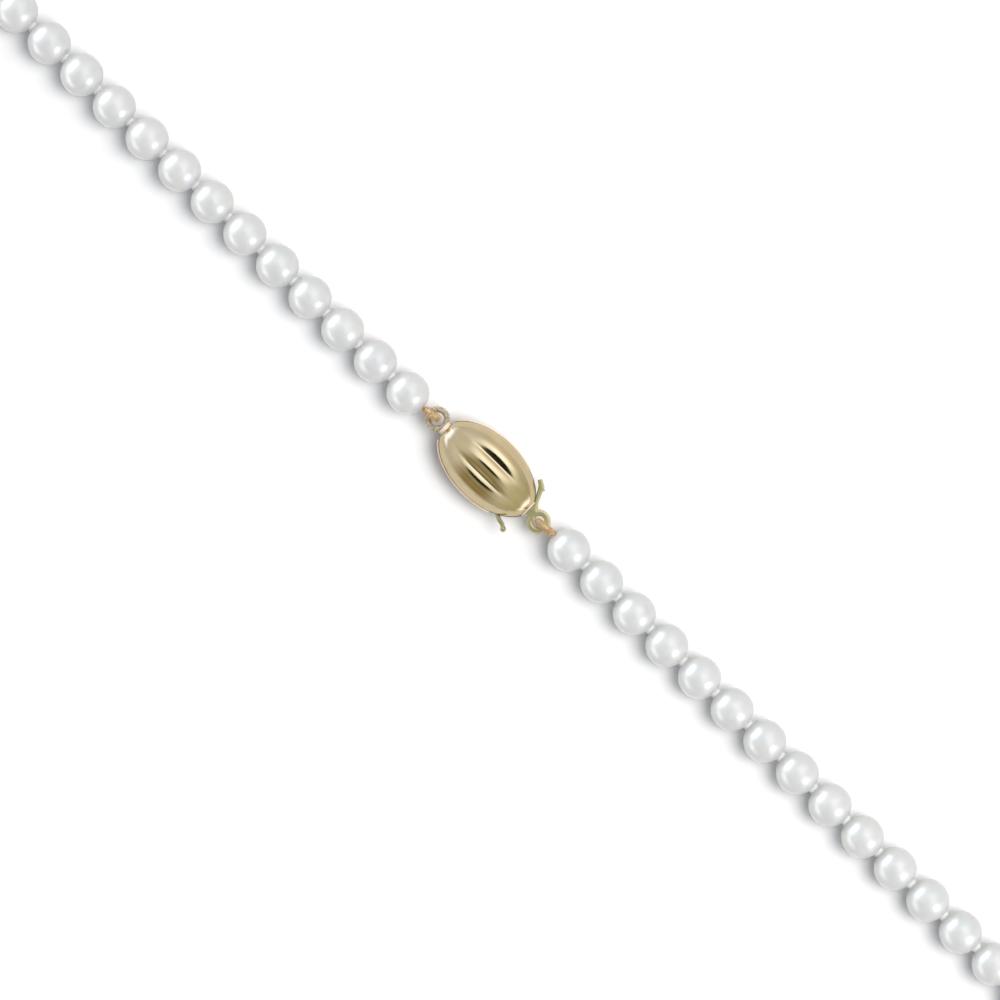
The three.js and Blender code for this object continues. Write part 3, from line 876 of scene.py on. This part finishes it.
def make_body():
    """The two fluted halves of the body."""
    top = shell_mesh("top_shell", BODY_TOP, 1)
    add_piece("fluted_top_shell", top, GOLD, "clasp", ["clasp_top_shell"])
    bottom = shell_mesh("bottom_shell", BODY_BOTTOM, -1)
    # it is worn flat where it rests, level with the pearls
    for vertex in bottom.vertices:
        vertex.co.z = max(vertex.co.z, -PEARL_RADIUS)
    add_piece("fluted_bottom_shell", bottom, GOLD, "clasp", ["clasp_bottom_shell"])


def make_end_trim():
    """A narrow rose bead round each half of the hook's end, clear of the slot."""
    x = BODY_ENDS[1]
    radius = body_radius(x)
    for name, height, sign in (("top", BODY_TOP, 1), ("bottom", BODY_BOTTOM, -1)):
        points = []
        for i in range(TRIM_STEPS + 1):
            angle = math.radians(TRIM_REACH * (2 * i / TRIM_STEPS - 1))
            y = BODY_CENTRE.y + BODY_HALF_WIDTH * radius * math.sin(angle)
            points.append(Vector((x, y, sign * height * radius * math.cos(angle))))
        mesh = sweep(Builder(), points, TRIM_RADIUS, sides=12).mesh("trim")
        add_piece(f"end_trim_{name}", mesh, RIM_GOLD, "clasp")


def make_rim():
    """The band between the shells, with a rounded edge that stands a little proud."""
    rings = []
    half = SLOT_HALF_HEIGHT - RIM_CLEARANCE
    section = [(RIM_DEPTH, half)] + [(depth, half * share) for depth, share in RIM_ROUNDING]
    section += [(depth, -z) for depth, z in reversed(section)]
    start = math.acos((RIM_END_X - BODY_CENTRE.x) / BODY_HALF_LENGTH)
    for i in range(RIM_STEPS + 1):
        angle = start + (2 * math.pi - 2 * start) * i / RIM_STEPS
        out = Vector((math.cos(angle), math.sin(angle), 0))
        edge = Vector((BODY_CENTRE.x + (BODY_HALF_LENGTH + RIM_PROUD) * out.x,
                       BODY_CENTRE.y + (BODY_HALF_WIDTH + RIM_PROUD) * out.y, 0))
        edge.x = max(edge.x, BODY_ENDS[0])
        inward = Vector((-out.x * RIM_LEAN, -out.y, 0)).normalized()
        rings.append([edge + inward * depth + UP * z for depth, z in section])
    mesh = Builder().rings(rings).mesh("rim")
    add_piece("polished_seam_rim", mesh, RIM_GOLD, "clasp", ["seam_rim"])


def lathe_x(builder, profile, y, sides):
    """Turns (x, radius) points about a line along X."""
    rings = [circle(Vector((x, y, 0)), ACROSS, UP, radius, sides) for x, radius in profile]
    return builder.rings(rings)


def make_collar():
    """The rose collar between the body and the eye ring."""
    mesh = lathe_x(Builder(), COLLAR_BEADS, COLLAR_Y, sides=48).mesh("collar")
    add_piece("turned_end_collar", mesh, RIM_GOLD, "clasp", ["end_collar"])


def add_ball(builder, centre, radius, sides=10, stacks=6):
    """A small closed ball."""
    rings = []
    for i in range(1, stacks):
        a = math.pi * i / stacks
        middle = centre - UP * (radius * math.cos(a))
        rings.append(circle(middle, ALONG, ACROSS, radius * math.sin(a), sides))
    return builder.rings(rings)


EYE_WIRE = 0.19
GRAIN_RADIUS = 0.175
GRAINS_AROUND = 22
GRAIN_ROWS = 7
GRAIN_STRAY = 0.06       # radians round the ring
GRAIN_SIZES = 0.25       # how much they differ, as a share of their radius
GRAIN_NOISE = 5          # features for each radian
CROWDED = 0.75           # the size of the grains inside the ring, where there is less room
CROWDED_FROM = -0.4      # the cosine of the tilt beyond which a row is inside the ring


def make_eye():
    """A ring set all over with fine gold grains."""
    builder = Builder()
    hoop = circle(EYE, ALONG, ACROSS, EYE_RADIUS, sides=96)
    sweep(builder, hoop, EYE_WIRE, sides=24, closed=True)
    for row, tilt in enumerate(turns(GRAIN_ROWS)):
        crowding = CROWDED if math.cos(tilt) < CROWDED_FROM else 1.0
        for i in range(GRAINS_AROUND):
            turn = 2 * math.pi * (i + 0.5 * (row % 2)) / GRAINS_AROUND
            jitter = noise.noise(Vector((turn * GRAIN_NOISE, tilt * GRAIN_NOISE, 0.5)))
            place = turn + jitter * GRAIN_STRAY
            out = Vector((math.cos(place), math.sin(place), 0))
            normal = out * math.cos(tilt) + UP * math.sin(tilt)
            size = GRAIN_RADIUS * crowding * (1 + GRAIN_SIZES * jitter)
            add_ball(builder, EYE + out * EYE_RADIUS + normal * EYE_WIRE, size)
    mesh = builder.mesh("eye")
    add_piece("granular_eye_ring", mesh, EYE_GOLD, "clasp", ["eye_ring"])


# ---------- the hook and its lever ----------

HALF_THICKNESS = 0.24
OVAL_SIDES = 24
OVAL_ACROSS = 0.7        # the smaller these are, the fuller the oval is: 1 is an ellipse
OVAL_UP = 0.8
STRIP_STEPS = 8          # between each two points of a strip
RING_POINTS = 80
MELT_LOSS = 0.04         # the width that melting takes from the ring
# Each strip of the hook is a list of points with the strip's width at each.
ARM = [
    (6.75, 0.25, 0.7), (6.25, 0.35, 0.86), (5.98, 0.75, 0.66), (5.72, 1.25, 0.54),
    (5.35, 2.1, 0.55), (5.1, 2.6, 0.64), (4.8, 2.86, 0.54), (4.4, 3.12, 0.46),
]
ARM_ROOT = [(6.8, -0.55, 0.8), (6.3, 0.0, 0.75), (5.9, 0.6, 0.4)]
ARM_KNOB = [(5.2, 2.2, 0.36), (5.4, 2.75, 0.42)]
SHANK = [(6.6, 0.0, 0.8), (4.0, 0.05, 1.05), (1.5, 0.05, 1.05)]
SHANK_LOW = 0.02
LEVER_LINE = [
    (2.5, 0.05, -0.13), (2.9, -1.3, -0.13), (3.45, -2.3, -0.1),
    (4.2, -2.78, 0), (4.82, -2.93, 0), (5.24, -3.22, 0),
]
LEVER_STEPS = 10         # between each two points of its line
LEVER_WIRE = 0.13
LEVER_THIN_STEPS = 14    # of its path, from the pivot, before it thickens
LEVER_THICKENING = 0.1
LEVER_BALL = 0.32
LEVER_EYE_OUTER = 0.5
LEVER_EYE_HOLE = 0.25
LEVER_EYE_Z = (-0.26, -0.03)  # its underside and its top


def slab(builder, outline, low, high):
    """A flat plate with a closed outline."""
    rings = [[point + UP * z for point in outline] for z in (low, high)]
    return builder.rings(rings)


def smooth_strip(strip):
    """A strip's smoothed middle line, and its width at each point of the line."""
    path = smooth_path([Vector((x, y, 0)) for x, y, _ in strip], STRIP_STEPS)
    sizes = smooth_path([ALONG * width for _, _, width in strip], STRIP_STEPS)
    return path, [size.x for size in sizes]


def strip_outline(strip):
    """The outline of a flat strip."""
    path, widths = smooth_strip(strip)
    left, right = [], []
    for point, width, (tangent, _, _) in zip(path, widths, frames_along(path), strict=True):
        side = Vector((-tangent.y, tangent.x, 0)) * width / 2
        left.append(point + side)
        right.append(point - side)
    return left + right[::-1]


def ring_slab(builder, centre, outer, inner, low, high, sides):
    """A flat ring."""
    rings = []
    for radius, z in ((outer, low), (outer, high), (inner, high), (inner, low)):
        rings.append(circle(centre + UP * z, ALONG, ACROSS, radius, sides))
    return builder.rings(rings, wrap=True)


def oval_sweep(builder, path, widths, half_height, closed=False):
    """A strip along a level path, with a full oval section as wide as asked at each point."""
    rings = []
    for point, width, (_, across, up) in zip(path, widths, frames_along(path, closed), strict=True):
        ring = []
        for angle in turns(OVAL_SIDES):
            side, rise = math.cos(angle), math.sin(angle)
            side = math.copysign(abs(side) ** OVAL_ACROSS, side)
            rise = math.copysign(abs(rise) ** OVAL_UP, rise)
            ring.append(point + across * (side * width / 2) + up * (rise * half_height))
        rings.append(ring)
    return builder.rings(rings, wrap=closed)


def make_hook():
    """A ring, an arm that springs from it with a knob on its outside, and the shank."""
    builder = Builder()
    hoop = circle(HOOK_RING, ALONG, ACROSS, (HOOK_RING_OUTER + HOOK_RING_HOLE) / 2, RING_POINTS)
    band = HOOK_RING_OUTER - HOOK_RING_HOLE + MELT_LOSS
    oval_sweep(builder, hoop, [band] * RING_POINTS, HALF_THICKNESS, closed=True)
    for strip in (ARM, ARM_ROOT, ARM_KNOB):
        oval_sweep(builder, *smooth_strip(strip), HALF_THICKNESS)
    slab(builder, strip_outline(SHANK), SHANK_LOW, HALF_THICKNESS)
    mesh = melted(builder.mesh("hook"), smoothing=5)
    add_piece("hook_and_ring", mesh, HOOK_GOLD, "hook", ["hook_plate"])


def make_lever():
    """A bent wire on a flat eye, thicker outside the body and ending in a ball."""
    path = smooth_path([Vector(point) for point in LEVER_LINE], LEVER_STEPS)
    radii = [LEVER_WIRE] * len(path)
    for i in range(LEVER_THIN_STEPS, len(path)):
        radii[i] += LEVER_THICKENING * min(1, (i - LEVER_THIN_STEPS) / LEVER_STEPS)
    builder = sweep(Builder(), path, radii, sides=16)
    add_ball(builder, path[-1], LEVER_BALL, sides=24, stacks=16)
    ring_slab(builder, PIVOT, LEVER_EYE_OUTER, LEVER_EYE_HOLE, *LEVER_EYE_Z, sides=32)
    mesh = melted(builder.mesh("lever"), smoothing=3)
    # in the hook's green gold, darkened as painted shade
    add_piece("ball_ended_lever", mesh, LEVER_GOLD_PAINTED_SHADE, "lever", ["release_lever"])


# ---------- gimp ----------

GIMP_RADIUS = {"left": 0.55, "right": 0.46}
GIMP_RISE = {"left": 1.12, "right": 1.0}
GIMP_END_RADIUS = {"left": 0.28, "right": 0.42}
GIMP_RING_RADIUS = 0.4
GIMP_TAPER = 0.2
GIMP_INSET = {"left": 0.14, "right": 0.2}  # from the ring's centre to the gimp that goes through it
GIMP_WIRE = 0.11
GIMP_PITCH = 0.3
GIMP_COIL_POINTS = 12    # for each turn of its wire
CORE_INSET = 1.4         # of the core, from the outside of the coil, as a share of the wire
# The upper half of the right gimp's loop, from the pearl to the ring: x and height.
GIMP_LOOP = [(9.38, 0.42), (8.95, 0.68), (8.3, 0.83), (7.74, 0.68), (7.42, 0.34)]
GIMP_LEVEL_AT = 9.34     # the x at which it is still on the strand's line


def gimp_path(name, sign, ring):
    """A loop out of the first pearl, through a ring and back, leaning to the ring's centre."""
    inner = abs(ring.x) + GIMP_INSET[name]
    shift = abs(ring.x) - HOOK_RING.x
    upper = []
    for x, z in GIMP_LOOP:
        share = (GIMP_LEVEL_AT - x) / (GIMP_LEVEL_AT - inner)
        upper.append(Vector((sign * (x + shift * share), ring.y * share, z * GIMP_RISE[name])))
    lower = [Vector((point.x, point.y, -point.z)) for point in reversed(upper)]
    return smooth_path([*upper, Vector((sign * inner, ring.y, 0)), *lower], steps=12)


def gimp_radius(name, share):
    """The gimp's radius at a share of its length: thinner where it goes into the pearl, and a
    little thinner again inside the ring."""
    end = min(share, 1 - share)
    widening = ease(min(1, end / GIMP_TAPER))
    thinning = ease(min(1, max(0, (end - GIMP_TAPER) / (0.5 - GIMP_TAPER))))
    narrow = GIMP_END_RADIUS[name]
    wide = narrow + (GIMP_RADIUS[name] - narrow) * widening
    return wide - (GIMP_RADIUS[name] - GIMP_RING_RADIUS) * thinning


def gimp_coil(name, path):
    """A wire wound round a path, as wide as the gimp is there."""
    frames = frames_along(path)
    lengths = [0.0]
    for a, b in zip(path, path[1:], strict=False):
        lengths.append(lengths[-1] + (b - a).length)
    total = int(lengths[-1] / GIMP_PITCH * GIMP_COIL_POINTS)
    points = []
    segment = 0
    for i in range(total + 1):
        along = lengths[-1] * i / total
        while segment < len(path) - 2 and lengths[segment + 1] < along:
            segment += 1
        t = (along - lengths[segment]) / (lengths[segment + 1] - lengths[segment])
        centre = path[segment].lerp(path[segment + 1], t)
        across = frames[segment][1].lerp(frames[segment + 1][1], t).normalized()
        up = frames[segment][2].lerp(frames[segment + 1][2], t).normalized()
        angle = 2 * math.pi * i / GIMP_COIL_POINTS
        turned = across * math.cos(angle) + up * math.sin(angle)
        points.append(centre + turned * (gimp_radius(name, i / total) - GIMP_WIRE))
    return sweep(Builder(), points, GIMP_WIRE, sides=8)


def make_gimp():
    """On each side a wound wire, and a core that fills it."""
    for (name, sign), ring in zip(SIDES, (EYE, HOOK_RING), strict=True):
        body = f"{name}_strand_1"
        path = gimp_path(name, sign, ring)
        wound = gimp_coil(name, path).mesh(name)
        add_piece(f"{name}_wound_gimp", wound, GIMP_GOLD, body, [f"{name}_gimp_loop"])
        last = len(path) - 1
        radii = [gimp_radius(name, i / last) - GIMP_WIRE * CORE_INSET for i in range(last + 1)]
        core = sweep(Builder(), path, radii, sides=12).mesh(f"{name}_core")
        add_piece(f"{name}_gimp_core", core, GIMP_GOLD, body)


make_pearls()
make_silk()
make_body()
make_end_trim()
make_rim()
make_collar()
make_eye()
make_hook()
make_lever()
make_gimp()

# These two CAD nodes stay, with the hook's gold on them.
for name in ("catch_post", "lever_rivet"):
    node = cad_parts[name]
    node.data.materials.clear()
    node.data.materials.append(HOOK_GOLD)
